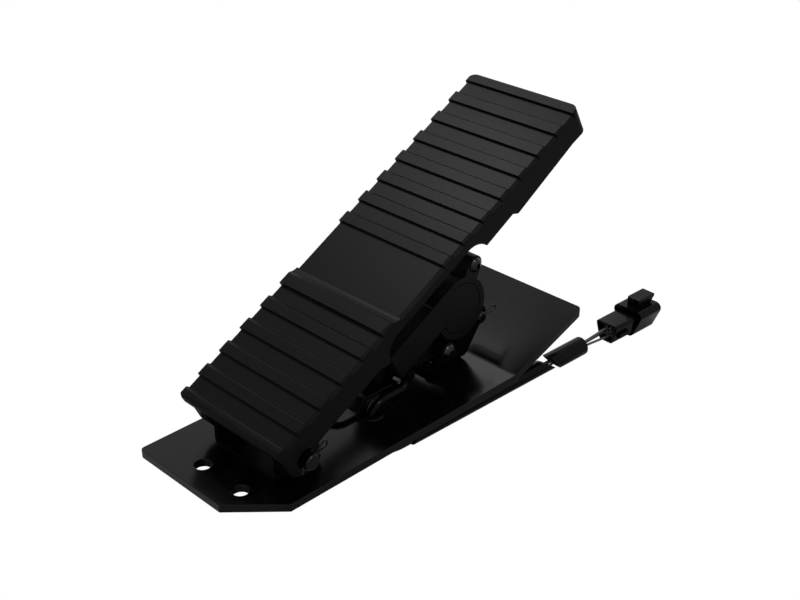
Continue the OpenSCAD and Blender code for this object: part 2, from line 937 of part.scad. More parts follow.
// Gland and grommet of the lead
gland_r = 4.6;
spigot_r = 1.5;
spigot_x = pocket_left - spigot_r - near_gap;
module cable_gland() {
  color([0.1, 0.1, 0.1]) {
    difference() {
      translate([lead_x, gland_y, gland_low])
        cylinder(h = 5.6, r = gland_r);
      at_sensor()
        translate([-50, -100, neck_low - near_gap])
          cube([100, 200, 60]);
      translate([lead_x, gland_y, gland_low - 1])
        cylinder(h = 4.2, r = cable_r + near_gap);
    }
    translate([spigot_x, gland_y, gland_low + 4.5])
      cylinder(h = 6.5, r = spigot_r);
  }
}

module plate_grommet() {
  lip = 1.1;
  color([0.1, 0.1, 0.1])
    translate([lead_x, hole_y, 0])
      difference() {
        union() {
          cylinder(h = plate_t, r = grommet_r - 0.02);
          translate([0, 0, plate_t])
            cylinder(h = lip, r1 = grommet_r + 0.9, r2 = grommet_r + 0.4);
          translate([0, 0, -lip])
            cylinder(h = lip, r1 = grommet_r + 0.4, r2 = grommet_r + 0.9);
        }
        translate([0, 0, -3])
          cylinder(h = plate_t + 6, r = cable_r + 1);
      }
}

// Free lead
lead_dir = [-sin(lead_yaw), cos(lead_yaw), 0];
module cable() {
  steps = 9;
  tail = [for (i = [1:steps]) lead_start + lead_dir * cable_tail * i / steps];
  color([0.1, 0.1, 0.1])
    tube(concat(cable_route, tail), cable_r, 10);
}

module lead_tube(y0, y1, r, bore) {
  rotate([-90, 0, 0])
    translate([0, 0, y0])
      difference() {
        cylinder(h = y1 - y0, r = r);
        translate([0, 0, -1])
          cylinder(h = y1 - y0 + 2, r = bore);
      }
}

module lead_rod(y0, y1, r) {
  rotate([-90, 0, 0])
    translate([0, 0, y0])
      cylinder(h = y1 - y0, r = r);
}

// Conduit and sleeve, each cut off slantwise where they face each other
module conduit() {
  past = conduit_r + 1;
  color([0.13, 0.13, 0.13])
    on_lead()
      difference() {
        lead_tube(0, conduit_len, conduit_r, cable_r + 0.4);
        across(-past, past)
          polygon([
            [conduit_len, -conduit_r], [conduit_len + 1, -past], [conduit_len + 1, past],
            [conduit_len - conduit_slant, past], [conduit_len - conduit_slant, conduit_r]
          ]);
      }
}

module wire_sleeve() {
  past = sleeve_r + 1;
  color([0.13, 0.13, 0.13])
    on_lead()
      difference() {
        lead_tube(sleeve_at, sleeve_at + sleeve_len, sleeve_r, wire_ring + wire_r + 0.08);
        lead_rod(sleeve_at - 1, sleeve_at + sleeve_slant + 3, sleeve_r - 1);
        across(-past, past)
          polygon([
            [sleeve_at, sleeve_r], [sleeve_at - 1, past], [sleeve_at - 1, -past],
            [sleeve_at + sleeve_slant, -past], [sleeve_at + sleeve_slant, -sleeve_r]
          ]);
      }
}

module wires() {
  spread = connector_at - sleeve_at - sleeve_len;
  out = sleeve_at + sleeve_len;
  color([0.2, 0.2, 0.2])
    on_lead()
      for (a = wire_turn) {
        d = [cos(a), 0, sin(a)];
        tube(
          concat(
            [for (y = [cable_tail, sleeve_at, out]) [0, y, 0] + wire_ring * d],
            [
              for (i = [1:5])
                [0, out + spread * i / 6, 0]
                + (wire_ring + (seat_ring - wire_ring) * (1 - cos(180 * i / 6)) / 2) * d
            ],
            [for (y = [connector_at, connector_at + 6]) [0, y, 0] + seat_ring * d]
          ),
          wire_r, 8
        );
      }
}

// Three-way connector: rear body, wider front shroud round it, and three round ways
module rear_section(grow) {
  polygon(rounded([
    [-9 - grow, 6.2 + grow], [8.4 + grow, 6.2 + grow], [5 + grow, -7 - grow], [-5 - grow, -7 - grow]
  ], 1.8 + grow));
}

module shroud_section(grow) {
  polygon(rounded([
    [-13 - grow, 9.4 + grow], [13 + grow, 9.4 + grow],
    [4.8 + grow, -10 - grow], [-4.8 - grow, -10 - grow]
  ], 3.8 + grow));
}

shroud_at = connector_at + rear_len;
connector_end = connector_at + connector_len;
module connector_body() {
  recess = 4;
  color([0.12, 0.12, 0.12])
    on_lead()
      difference() {
        union() {
          along(connector_at, shroud_at + recess + 1)
            rear_section(0);
          difference() {
            along(shroud_at, connector_end)
              shroud_section(0);
            along(shroud_at - 1, shroud_at + recess)
              shroud_section(-2);
          }
          translate([5, connector_at + 4, -3.4])
            cube([3.2, 9, 3]);
        }
        along(connector_end - 16, connector_end + 1)
          shroud_section(-2.4);
        along(connector_at - 1, connector_at + 2.4)
          rear_section(-1.5);
        for (a = wire_turn) {
          translate([seat_ring * cos(a), 0, seat_ring * sin(a)])
            lead_rod(connector_at, connector_end - 15, 2.2);
        }
      }
}

module connector_latch() {
  top = 14.8;
  low = 9.4;
  color([0.14, 0.14, 0.14])
    on_lead()
      across(-4.7, 4.7)
        polygon([
          [shroud_at + 5, low], [connector_end - 3.4, low], [connector_end + 0.4, top - 1.6],
          [connector_end + 0.4, top - 0.6], [connector_end - 0.2, top], [shroud_at + 5.6, top],
          [shroud_at + 5, top - 0.6]
        ]);
}

module wedge_lock() {
  color([0.75, 0.4, 0.15])
    on_lead()
      difference() {
        along(connector_end - 15.8, connector_end - 11.5)
          shroud_section(-3);
        for (a = wire_turn) {
          translate([seat_ring * cos(a), 0, seat_ring * sin(a)])
            lead_rod(connector_end - 18, connector_end - 10, 1.4);
        }
      }
}

module terminals() {
  color([0.7, 0.65, 0.5])
    on_lead()
      for (a = wire_turn) {
        translate([seat_ring * cos(a), 0, seat_ring * sin(a)]) {
          lead_rod(connector_at + 7, connector_end - 17, 1.9);
          lead_rod(connector_end - 17.2, connector_end - 4, 0.9);
        }
      }
}

module wire_seals() {
  color([0.55, 0.3, 0.15])
    on_lead()
      for (a = wire_turn) {
        translate([seat_ring * cos(a), 0, seat_ring * sin(a)])
          lead_tube(connector_at + 2.4, connector_at + 6.8, 2.15, wire_r + 0.05);
      }
}

// Treadle: one casting
module tread_section(top, bevel) {
  half = treadle_w / 2;
  polygon([
    [-half, -30], [half, -30], [half, top - bevel], [half - bevel, top],
    [bevel - half, top], [-half, top - bevel]
  ]);
}

module rib(k) {
  top = k >= ridge_rib ? tread_top + heel_rise : tread_top;
  y0 = max(rib_at(k), -heel_reach);
  y1 = rib_at(k) + rib_w;
  intersection() {
    along(y0, y1)
      tread_section(top, side_bevel);
    across(-treadle_w, treadle_w)
      polygon([
        [y0, tread_low], [y1, tread_low], [y1, top - rib_h], [y1 - rib_h, top], [y0, top]
      ]);
  }
}

module ridge() {
  top = tread_top + heel_rise + ridge_extra;
  rise = top - recess_top;
  fall = acos(1 - rise / ridge_sweep_r);
  y0 = rib_at(ridge_rib);
  foot = [y0 + ridge_w + ridge_sweep_r * sin(fall), recess_top];
  intersection() {
    along(y0, foot[0])
      tread_section(top, side_bevel);
    across(-treadle_w, treadle_w)
      polygon(concat(
        [[y0, tread_low], [foot[0], tread_low]],
        arc(foot + [0, ridge_sweep_r], ridge_sweep_r, -90, -90 - fall, 8),
        [[y0, top]]
      ));
  }
}

// Side view of the walls: heel, notch side, window and toe
window_from = 67.4;
window_to = 152.6;
module wall_side() {
  top = skirt_low + window_h;
  r0 = 12.1;
  r1 = 14.1;
  polygon(concat(
    [
      [-heel_reach, 40], [-heel_reach, tread_top - 3], [-heel_reach + 3, skirt_low + 1.3],
      [-heel_reach + 4.2, skirt_low], [window_from - 8, skirt_low],
      [window_from - 3.5, skirt_low - 1.9]
    ],
    arc([window_from + r0, top - r0], r0, 175, 90, 6),
    arc([window_to - r1 + 1, top - r1], r1, 90, 22, 6),
    [
      [window_to + 1, skirt_low - 0.8], [window_to + 24, skirt_low - 0.4],
      [window_to + 27.5, skirt_low - 3.6], [toe_reach - 13.5, skirt_low - 0.4],
      [toe_reach, skirt_low - 1.2], [toe_reach, 40]
    ]
  ));
}

module treadle_hollow() {
  end_wall = 4;
  across(-wall_in, wall_in)
    polygon([
      [-heel_reach - 5, -30], [toe_reach - end_wall, -30], [toe_reach - end_wall, tread_low],
      [-heel_reach - 5, tread_low]
    ]);
}

module pivot_lugs() {
  for (s = [-1, 1]) {
    translate([s > 0 ? 0 : -lug_in - wall_in, 0, 0]) {
      bar(lug_in, wall_in, lug_r);
      across(lug_in, wall_in + 0.5)
        polygon([
          [-lug_r, 0], [lug_r, 0], [lug_r + 5, tread_low + 1], [-lug_r + 1, tread_low + 1]
        ]);
    }
  }
}

module toe_ribs() {
  web_t = 3;
  first = window_to + 25;
  depth = 9;
  for (x = [-15, 15]) {
    across(x - web_t / 2, x + web_t / 2)
      polygon([
        [first, tread_low - depth], [toe_reach - 3, tread_low - depth + 2],
        [toe_reach - 3, tread_low + 1], [first, tread_low + 1]
      ]);
  }
  across(-wall_in - 1, wall_in + 1)
    polygon([
      [first, tread_low - depth], [first + web_t, tread_low - depth],
      [first + web_t, tread_low + 1], [first, tread_low + 1]
    ]);
}

module treadle_body() {
  edge = 3;
  difference() {
    intersection() {
      union() {
        along(-heel_reach, rib_at(ridge_rib) + 1)
          tread_section(recess_top + heel_rise, recess_bevel);
        along(rib_at(ridge_rib), toe_reach)
          tread_section(recess_top, recess_bevel);
        for (k = [0:rib_count - 1]) {
          if (k < plain_ribs[0] || k > ridge_rib) rib(k);
        }
        ridge();
      }
      across(-treadle_w, treadle_w)
        wall_side();
    }
    treadle_hollow();
    for (s = [-1, 1]) {
      corner_cut(s * treadle_w / 2, toe_reach, s, 1, 6);
      corner_cut(s * treadle_w / 2, -heel_reach, s, -1, 5);
    }
    across(-treadle_w, treadle_w)
      translate([edge - heel_reach, tread_top + heel_rise - edge])
        difference() {
          translate([-edge - 1, 0])
            square(edge + 1);
          circle(edge);
        }
  }
}

module treadle() {
  color([0.16, 0.16, 0.17])
    at_pivot()
      difference() {
        union() {
          treadle_body();
          pivot_lugs();
          toe_ribs();
        }
        for (s = [0, 1]) {
          mirror([s, 0, 0]) {
            bar(wall_in, treadle_w, notch_r);
            bar(lug_in - 1, treadle_w, bush_r);
          }
        }
        for (y = pad_screw_at) {
          translate([pad_x, y, tread_low - 1])
            cylinder(h = 1 + pad_screw_len, r = pad_screw_r + run_fit);
        }
      }
}

module pivot_bush() {
  at_pivot()
    difference() {
      bar(lug_in, wall_in, bush_r - 0.02);
      bar(lug_in - 1, wall_in + 1, pin_r + run_fit);
    }
}

module bush_left() {
  color([0.6, 0.5, 0.3])
    mirror([1, 0, 0])
      pivot_bush();
}

module bush_right() {
  color([0.6, 0.5, 0.3])
    pivot_bush();
}

// Wear pad under the tread for the lever's roller, with two countersunk screws
pad_x = roller_left + roller_w / 2;
pad_y0 = 42;
pad_y1 = 80;
pad_screw_at = [pad_y0 + 5, pad_y1 - 5];
pad_screw_r = 1.5;
pad_screw_len = 2.6;
pad_head_r = 2.9;
module wear_pad() {
  half = roller_w / 2 + 1;
  color([0.5, 0.5, 0.52])
    at_pivot()
      difference() {
        translate([pad_x - half, pad_y0, pad_low])
          cube([2 * half, pad_y1 - pad_y0, pad_t]);
        for (y = pad_screw_at) {
          translate([pad_x, y, pad_low - 0.01]) {
            cylinder(h = pad_head_r - pad_screw_r + 0.2, r1 = pad_head_r + 0.2, r2 = pad_screw_r);
            cylinder(h = pad_t + 1, r = pad_screw_r + 0.1);
          }
        }
      }
}

module pad_screws() {
  color([0.55, 0.55, 0.57])
    at_pivot()
      for (y = pad_screw_at) {
        translate([pad_x, y, pad_low + 0.1]) {
          cylinder(h = pad_head_r - pad_screw_r, r1 = pad_head_r, r2 = pad_screw_r);
          cylinder(h = pad_t + pad_screw_len - 0.3, r = pad_screw_r);
        }
      }
}

// Lever: a tapered arm from the sensor's shaft to its roller
hub_r = 8.5;
eye_r = 6;
roller_pin_r = 2.5;
module sensor_lever() {
  c0 = [0, 0];
  c1 = [lever_len, 0];
  color([0.2, 0.2, 0.21])
    at_lever()
      difference() {
        across(lever_left, lever_right) {
          circle(hub_r);
          translate(c1)
            circle(eye_r);
          polygon([
            c0 - [0, hub_r - 2], c1 - [0, eye_r - 1], c1 + [0, eye_r - 1], c0 + [0, hub_r - 2]
          ]);
        }
        bar(lever_left - 1, lever_right + 1, shaft_r + 0.01);
        translate([0, lever_len, 0])
          bar(lever_left - 1, lever_right + 1, roller_pin_r + 0.01);
        across(lever_right - 1.5, lever_right + 1)
          polygon(rounded([[14, -3], [lever_len - 11, -2], [lever_len - 11, 2], [14, 3]], 1.5));
        across(lever_left - 1, lever_left + 1.5)
          polygon(rounded([[14, -3], [lever_len - 11, -2], [lever_len - 11, 2], [14, 3]], 1.5));
      }
}

magnet_t = 2.5;
shaft_right = sensor_left - magnet_t - 0.5;
module sensor_shaft() {
  color([0.6, 0.6, 0.62])
    at_lever()
      bar(lever_left - 1.5, shaft_right, shaft_r);
}

module magnet() {
  color([0.35, 0.35, 0.37])
    at_lever()
      bar(shaft_right, shaft_right + magnet_t, shaft_r + 1.5);
}

module roller_pin() {
  color([0.6, 0.6, 0.62])
    at_lever()
      translate([0, lever_len, 0]) {
        bar(roller_left - 0.3, lever_right, roller_pin_r);
        bar(roller_left - 1.8, roller_left - 0.3, roller_pin_r + 1.5);
      }
}

module lever_roller() {
  color([0.75, 0.75, 0.72])
    at_lever()
      translate([0, lever_len, 0])
        difference() {
          bar(roller_left, roller_left + roller_w, roller_r);
          bar(roller_left - 1, roller_left + roller_w + 1, roller_pin_r + run_fit);
        }
}

// Light spring that keeps the roller up: two turns between the lever and the housing
module lever_spring() {
  coil_r = 10.2;
  wire = 0.7;
  steps = 36;
  turn = 720 + 40;
  x0 = lever_right + wire + 0.15;
  x1 = housing_left - wire - 0.15;
  a0 = lever_angle + 90 - 20;
  path = concat(
    [[x0, coil_r * cos(a0) + 14 * cos(a0 + 90), coil_r * sin(a0) + 14 * sin(a0 + 90)]],
    [
      for (i = [0:steps])
        [
          x0 + (x1 - x0) * i / steps,
          coil_r * cos(a0 - turn * i / steps),
          coil_r * sin(a0 - turn * i / steps)
        ]
    ]
  );
  color([0.3, 0.3, 0.32])
    translate([0, sensor_y, sensor_z])
      tube(path, wire, 8);
}

base_plate();
pivot_bracket();
bracket_screws();
heel_pin();
heel_washer();
heel_cotter();
return_spring_left();
return_spring_right();
rear_bracket();
rear_screws();
front_strap();
strap_screws();
mechanism_housing();
housing_pin();
housing_washer();
housing_cotter();
sensor_body();
sensor_cover();
cover_seal();
sensor_screws();
circuit_board();
shaft_bush();
stop_bumper();
cable_gland();
plate_grommet();
cable();
conduit();
wire_sleeve();
wires();
connector_body();
connector_latch();
wedge_lock();
terminals();
wire_seals();
treadle();
bush_left();
bush_right();
wear_pad();
pad_screws();
sensor_lever();
sensor_shaft();
magnet();
roller_pin();
lever_spring();
lever_roller();
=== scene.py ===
from math import cos, pi, radians, sin

import bmesh
import bpy
from mathutils import Matrix, Vector
from mathutils.bvhtree import BVHTree


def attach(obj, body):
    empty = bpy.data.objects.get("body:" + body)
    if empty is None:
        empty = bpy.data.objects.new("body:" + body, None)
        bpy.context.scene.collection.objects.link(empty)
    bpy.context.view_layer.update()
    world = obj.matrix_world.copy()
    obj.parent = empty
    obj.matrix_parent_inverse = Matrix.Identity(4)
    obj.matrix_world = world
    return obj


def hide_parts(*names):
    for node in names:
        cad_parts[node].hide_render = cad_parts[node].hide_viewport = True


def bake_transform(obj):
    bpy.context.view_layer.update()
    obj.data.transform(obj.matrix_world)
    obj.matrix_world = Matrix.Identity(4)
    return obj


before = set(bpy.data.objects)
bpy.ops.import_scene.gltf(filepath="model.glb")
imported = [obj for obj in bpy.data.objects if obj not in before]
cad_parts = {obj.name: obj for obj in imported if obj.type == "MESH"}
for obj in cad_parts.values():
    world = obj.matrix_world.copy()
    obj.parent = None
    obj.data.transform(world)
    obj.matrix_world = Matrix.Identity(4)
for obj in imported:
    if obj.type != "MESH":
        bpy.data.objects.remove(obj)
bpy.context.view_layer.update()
scene = bpy.context.scene
mm = 0.001

# seen from the heel's right-hand side, half way up
cameraSettings = {
    "place": (0.45137, -0.31781, 0.40827),
    "lookDown": 28.69,      # degrees below level
    "turn": 45.10,          # degrees to the left of straight ahead
    "lens": 57.66,          # mm, on the sensor below
    "sensor": 36,           # mm wide
    "sight": 20,            # metres
}


def makeCamera(settings):
    data = bpy.data.cameras.new("camera")
    data.sensor_fit = "HORIZONTAL"
    data.sensor_width = settings["sensor"]
    data.lens = settings["lens"]
    data.clip_end = settings["sight"]
    camera = bpy.data.objects.new("camera", data)
    camera.location = settings["place"]
    camera.rotation_euler = (radians(90 - settings["lookDown"]), 0, radians(settings["turn"]))
    scene.collection.objects.link(camera)
    scene.camera = camera


makeCamera(cameraSettings)
print("camera set")


class Wire:
    # a socket that Python's operators work on; each one adds a Math node
    def __init__(self, nodes, socket):
        self.nodes, self.socket = nodes, socket

    def maths(self, operation, a, b):
        return self.nodes.add("ShaderNodeMath", {"operation": operation}, {0: a, 1: b})

    def __add__(self, other):
        return self.maths("ADD", self, other)

    def __radd__(self, other):
        return self.maths("ADD", other, self)

    def __mul__(self, other):
        return self.maths("MULTIPLY", self, other)

    def __rmul__(self, other):
        return self.maths("MULTIPLY", other, self)


class Nodes:
    def __init__(self, tree):
        self.tree = tree

    def feed(self, socket, value):
        if isinstance(value, Wire):
            self.tree.links.new(value.socket, socket)
        else:
            socket.default_value = value

    def add(self, kind, settings=None, sockets=None, out=0):
        node = self.tree.nodes.new(kind)
        for name, value in (settings or {}).items():
            setattr(node, name, value)
        for name, value in (sockets or {}).items():
            self.feed(node.inputs[name], value)
        return Wire(self, node.outputs[out])

    def levels(self, value, span, out=(0.0, 1.0)):
        sockets = {
            "Value": value, "From Min": span[0], "From Max": span[1],
            "To Min": out[0], "To Max": out[1],
        }
        return self.add("ShaderNodeMapRange", {"clamp": True}, sockets)


class Shader(Nodes):
    # one material: what is the same all over goes on the Principled node's own sockets
    def __init__(self, name, constants):
        self.material = bpy.data.materials.new(name)
        self.material.use_nodes = True
        super().__init__(self.material.node_tree)
        self.principled = self.tree.nodes["Principled BSDF"]
        for socket, value in constants.items():
            self.principled.inputs[socket].default_value = value

    def place(self):
        return self.add("ShaderNodeTexCoord", out="Object")

    def stretched(self, scale):
        return self.add("ShaderNodeMapping", {}, {"Vector": self.place(), "Scale": scale})

    def noise(self, scale, detail=2, rough=0.5, where=None):
        sockets = {
            "Vector": where or self.place(), "Scale": scale, "Detail": detail, "Roughness": rough,
        }
        return self.add("ShaderNodeTexNoise", {}, sockets)

    def blend(self, factor, a, b):
        sockets = {0: factor, 6: (*a, 1), 7: (*b, 1)}
        return self.add("ShaderNodeMix", {"data_type": "RGBA"}, sockets, out=2)

    def bump(self, height, distance, strength):
        sockets = {"Height": height, "Distance": distance, "Strength": strength}
        return self.add("ShaderNodeBump", {}, sockets)

    def use(self, socket, value):
        self.feed(self.principled.inputs[socket], value)


# the part of a noise's range that is spread over a whole change of colour or roughness
evenSpan = (0.35, 0.65)
wideSpan = (0.30, 0.70)
stainSpan = (0.35, 0.70)

# scales of clouds, grains, pores and stains are per metre
castingSettings = {
    "dark": (0.0016, 0.0016, 0.0017),
    "light": (0.0024, 0.0024, 0.0025),
    "rough": (0.40, 0.44),
    "shine": 0.05,
    "cloud": 18,
    "grain": 900,
    "relief": (0.02 * mm, 0.5),     # depth and strength
}
# painted shade: a darker, duller copy of the casting's satin coat, for parts that sit in the shade
# under the treadle
paintedShadeSettings = {
    "dark": (0.0010, 0.0010, 0.0011),
    "light": (0.0018, 0.0018, 0.0019),
    "rough": (0.40, 0.46),
    "shine": 0.03,
    "cloud": 18,
    "grain": 700,
    "relief": (0.02 * mm, 0.5),
}
cloudShare = 0.7        # of a satin coat's unevenness; the rest is its grain


def satinCoat(name, settings):
    coat = Shader(name, {"Specular IOR Level": settings["shine"]})
    cloud = coat.noise(settings["cloud"], detail=3)
    grain = coat.noise(settings["grain"], rough=0.6)
    uneven = cloud * cloudShare + grain * (1 - cloudShare)
    tone = coat.levels(cloud, evenSpan)
    coat.use("Base Color", coat.blend(tone, settings["dark"], settings["light"]))
    coat.use("Roughness", coat.levels(uneven, evenSpan, settings["rough"]))
    coat.use("Normal", coat.bump(grain, *settings["relief"]))
    return coat.material


plateSettings = {
    "dark": (0.0012, 0.0012, 0.0013),
    "light": (0.0020, 0.0020, 0.0021),
    "rough": (0.16, 0.20),
    "shine": 0.13,
    "cloud": 26,
    "peel": 420,        # the orange peel of the coat
    "relief": (0.02 * mm, 0.35),
}


def coatedSteel(name, settings):
    coat = Shader(name, {"Specular IOR Level": settings["shine"]})
    cloud = coat.noise(settings["cloud"], detail=4)
    peel = coat.noise(settings["peel"], detail=1)
    tone = coat.levels(cloud, wideSpan)
    coat.use("Base Color", coat.blend(tone, settings["dark"], settings["light"]))
    coat.use("Roughness", coat.levels(cloud, wideSpan, settings["rough"]))
    coat.use("Normal", coat.bump(peel, *settings["relief"]))
    return coat.material


zincSettings = {
    "light": (0.62, 0.62, 0.63),
    "dull": (0.42, 0.42, 0.43),
    "rough": (0.20, 0.36),
    "stain": 350,
    "scratch": 900,
    "stretch": (1, 6, 6),       # scratches run along the first axis
    "relief": (0.01 * mm, 0.4),
}


def zincPlate(name, settings):
    zinc = Shader(name, {"Metallic": 1.0})
    stain = zinc.levels(zinc.noise(settings["stain"], detail=3), stainSpan)
    scratch = zinc.noise(settings["scratch"], where=zinc.stretched(settings["stretch"]))
    zinc.use("Base Color", zinc.blend(stain, settings["light"], settings["dull"]))
    zinc.use("Roughness", zinc.levels(scratch, wideSpan, settings["rough"]))
    zinc.use("Normal", zinc.bump(scratch, *settings["relief"]))
    return zinc.material


plasticSettings = {
    "sensor": {
        "name": "sensor_black", "dark": (0.002, 0.002, 0.0022),
        "light": (0.0035, 0.0035, 0.0037), "rough": 0.40, "shine": 0.06,
    },
    "plug": {
        "name": "plug_black", "dark": (0.0012, 0.0012, 0.0012),
        "light": (0.0020, 0.0020, 0.0020), "rough": 0.17, "pores": 2200, "lift": 0.2, "shine": 0.06,
    },
    "rubber": {
        "name": "cable_rubber", "dark": (0.0012, 0.0012, 0.0012),
        "light": (0.0020, 0.0020, 0.0020), "rough": 0.17, "pores": 700, "lift": 0.2, "shine": 0.06,
    },
    "bumper": {
        "name": "bumper_rubber", "dark": (0.005, 0.005, 0.005),
        "light": (0.008, 0.008, 0.008), "rough": 0.6, "pores": 900, "lift": 0.5, "shine": 0.2,
    },
    "pale": {
        "name": "roller_nylon", "dark": (0.55, 0.54, 0.50),
        "light": (0.62, 0.61, 0.57), "rough": 0.4,
    },
    "amber": {
        "name": "lock_amber", "dark": (0.60, 0.24, 0.05),
        "light": (0.70, 0.30, 0.07), "rough": 0.4,
    },
    "seal": {
        "name": "seal_grey", "dark": (0.035, 0.035, 0.037),
        "light": (0.050, 0.050, 0.053), "rough": 0.5,
    },
    "board": {
        "name": "board_green", "dark": (0.02, 0.11, 0.05),
        "light": (0.03, 0.15, 0.07), "rough": 0.3,
    },
    "wire": {
        "name": "wire_cover", "dark": (0.030, 0.030, 0.030),
        "light": (0.045, 0.045, 0.045), "rough": 0.3,
    },
}


def mouldedPlastic(
    name, dark, light, rough, pores=1500, lift=0.4, shine=0.5,
    cloud=60, pit=0.02 * mm, spread=0.05,
):
    skin = Shader(name, {"Specular IOR Level": shine})
    tone = skin.levels(skin.noise(cloud), wideSpan)
    pitted = skin.noise(pores, rough=0.6)
    skin.use("Base Color", skin.blend(tone, dark, light))
    skin.use("Roughness", skin.levels(pitted, wideSpan, (rough - spread, rough + spread)))
    skin.use("Normal", skin.bump(pitted, pit, lift))
    return skin.material


metalSettings = {
    "spring": {
        "name": "oiled_spring_wire", "light": (0.16, 0.16, 0.17),
        "dull": (0.08, 0.08, 0.09), "rough": 0.3,
    },
    "oiled": {
        "name": "blackened_steel", "light": (0.016, 0.016, 0.017),
        "dull": (0.010, 0.010, 0.011), "rough": 0.24,
    },
    "screw": {
        "name": "dark_zinc", "light": (0.030, 0.030, 0.031),
        "dull": (0.018, 0.018, 0.019), "rough": 0.20,
    },
    "bronze": {
        "name": "sintered_bronze", "light": (0.42, 0.30, 0.15),
        "dull": (0.30, 0.21, 0.11), "rough": 0.4,
    },
    "tin": {
        "name": "tinned_brass", "light": (0.70, 0.68, 0.62),
        "dull": (0.55, 0.53, 0.48), "rough": 0.22,
    },
    "magnet": {
        "name": "plated_magnet", "light": (0.35, 0.35, 0.36),
        "dull": (0.25, 0.25, 0.26), "rough": 0.3,
    },
}


def plainMetal(name, light, dull, rough, stains=260, spread=0.12):
    metal = Shader(name, {"Metallic": 1.0})
    stain = metal.noise(stains, detail=3)
    metal.use("Base Color", metal.blend(metal.levels(stain, stainSpan), light, dull))
    metal.use("Roughness", metal.levels(stain, wideSpan, (rough, rough + spread)))
    return metal.material


finish = {
    "casting": satinCoat("satin_black_casting", castingSettings),
    "plate": coatedSteel("black_coated_steel", plateSettings),
    # painted shade: the darker copy of the satin coat
    "painted_shade": satinCoat("dull_black_painted_shade", paintedShadeSettings),
    "zinc": zincPlate("bright_zinc", zincSettings),
}
finish.update({look: mouldedPlastic(**how) for look, how in plasticSettings.items()})
finish.update({look: plainMetal(**how) for look, how in metalSettings.items()})
nodeFinish = {
    "casting": ["treadle"],
    "plate": ["base_plate", "front_strap", "sensor_lever"],
    # painted shade: the brackets, housing and strap screws under the treadle get the darker copy of
    # the coat
    "painted_shade": ["pivot_bracket", "rear_bracket", "mechanism_housing", "strap_screws"],
    "zinc": ["wear_pad", "pad_screws", "sensor_shaft", "roller_pin"],
    "screw": ["sensor_screws"],
    "oiled": [
        "heel_pin", "heel_washer", "heel_cotter", "housing_pin", "housing_washer",
        "housing_cotter", "bracket_screws", "rear_screws",
    ],
    "spring": ["return_spring_left", "return_spring_right", "lever_spring"],
    "sensor": ["sensor_body", "sensor_cover"],
    "plug": ["connector_body", "connector_latch", "wire_sleeve", "conduit"],
    "rubber": ["cable", "cable_gland", "plate_grommet"],
    "bumper": ["stop_bumper"],
    "pale": ["lever_roller"],
    "amber": ["wedge_lock"],
    "seal": ["cover_seal", "wire_seals"],
    "board": ["circuit_board"],
    "bronze": ["shaft_bush", "bush_left", "bush_right"],
    "tin": ["terminals"],
    "magnet": ["magnet"],
    "wire": ["wires"],
}


def paint(node, look):
    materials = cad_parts[node].data.materials
    materials.clear()
    materials.append(finish[look])


for look, nodes in nodeFinish.items():
    for node in nodes:
        paint(node, look)
print("finishes made")


# the softened copy that stands for a sharp CAD node: width of its edges, body and finish
edgeSettings = {
    "treadle": {"width": 0.2 * mm, "body": "treadle", "look": "casting"},
    "base_plate": {"width": 0.25 * mm, "body": "base", "look": "plate"},
    # the brackets and housing take the painted-shade coat
    "pivot_bracket": {"width": 0.2 * mm, "body": "base", "look": "painted_shade"},
    "rear_bracket": {"width": 0.2 * mm, "body": "base", "look": "painted_shade"},
    "front_strap": {"width": 0.4 * mm, "body": "base", "look": "plate"},
    "mechanism_housing": {"width": 0.2 * mm, "body": "base", "look": "painted_shade"},
    "sensor_body": {"width": 0.2 * mm, "body": "base", "look": "sensor"},
    "sensor_cover": {"width": 0.3 * mm, "body": "base", "look": "sensor"},
    "sensor_lever": {"width": 0.4 * mm, "body": "lever", "look": "plate"},
    "connector_body": {"width": 0.12 * mm, "body": "base", "look": "plug"},
    "connector_latch": {"width": 0.3 * mm, "body": "base", "look": "plug"},
}
edgeSegments = 2
sameSpot = 0.001 * mm       # corners closer than this become one
oneFace = radians(1)        # faces that turn less than this become one
sharpFrom = radians(28)     # an edge that turns more than this is softened
strayFrom = 0.5             # of an edge's width; a bevel's corner farther from the surface is a stray
roundSettings = {"least": oneFace, "most": radians(22), "long": 0.4}    # a facet's turn and long edges

# the plate's corner cuts leave a sliver at each end of the toe edge, outside these
sliverSettings = {"from": 247.6 * mm, "left": -48.7 * mm, "right": 40.2 * mm}

# on the treadle
ribSettings = {
    "across": 40 * mm,                      # a rib's edges are longer than this
    "level": 0.99,                          # and run across by at least this share
    "turn": (radians(40), radians(50)),     # of its far slope
    "upward": 0.8,                          # least upward part of the faces there
    "flat": 0.35 * mm,                      # that breaks the top and foot of a heel rib's far slope
    "toeFrom": 118 * mm,    # far slopes past here stay crisp: the camera all but looks along them
}
wallSettings = {"from": 39 * mm, "upward": 0.3}     # of the side walls and the treads' upper side


def clipSlivers(bm, settings):
    for vert in bm.verts:
        if vert.co.y > settings["from"]:
            vert.co.x = min(max(vert.co.x, settings["left"]), settings["right"])


def isRibBack(edge, settings):
    # a long level edge on the treads, where a rib's far slope starts or ends
    along = edge.verts[0].co - edge.verts[1].co
    low, high = settings["turn"]
    return (
        abs(along.x) > settings["across"] and abs(along.x) > settings["level"] * along.length
        and low < edge.calc_face_angle() < high
        and all(face.normal.z > settings["upward"] for face in edge.link_faces)
    )


def isOutside(edge, settings):
    # the webs underneath stay crisp
    middle = (edge.verts[0].co + edge.verts[1].co) / 2
    upward = any(face.normal.z > settings["upward"] for face in edge.link_faces)
    return upward or abs(middle.x) > settings["from"]


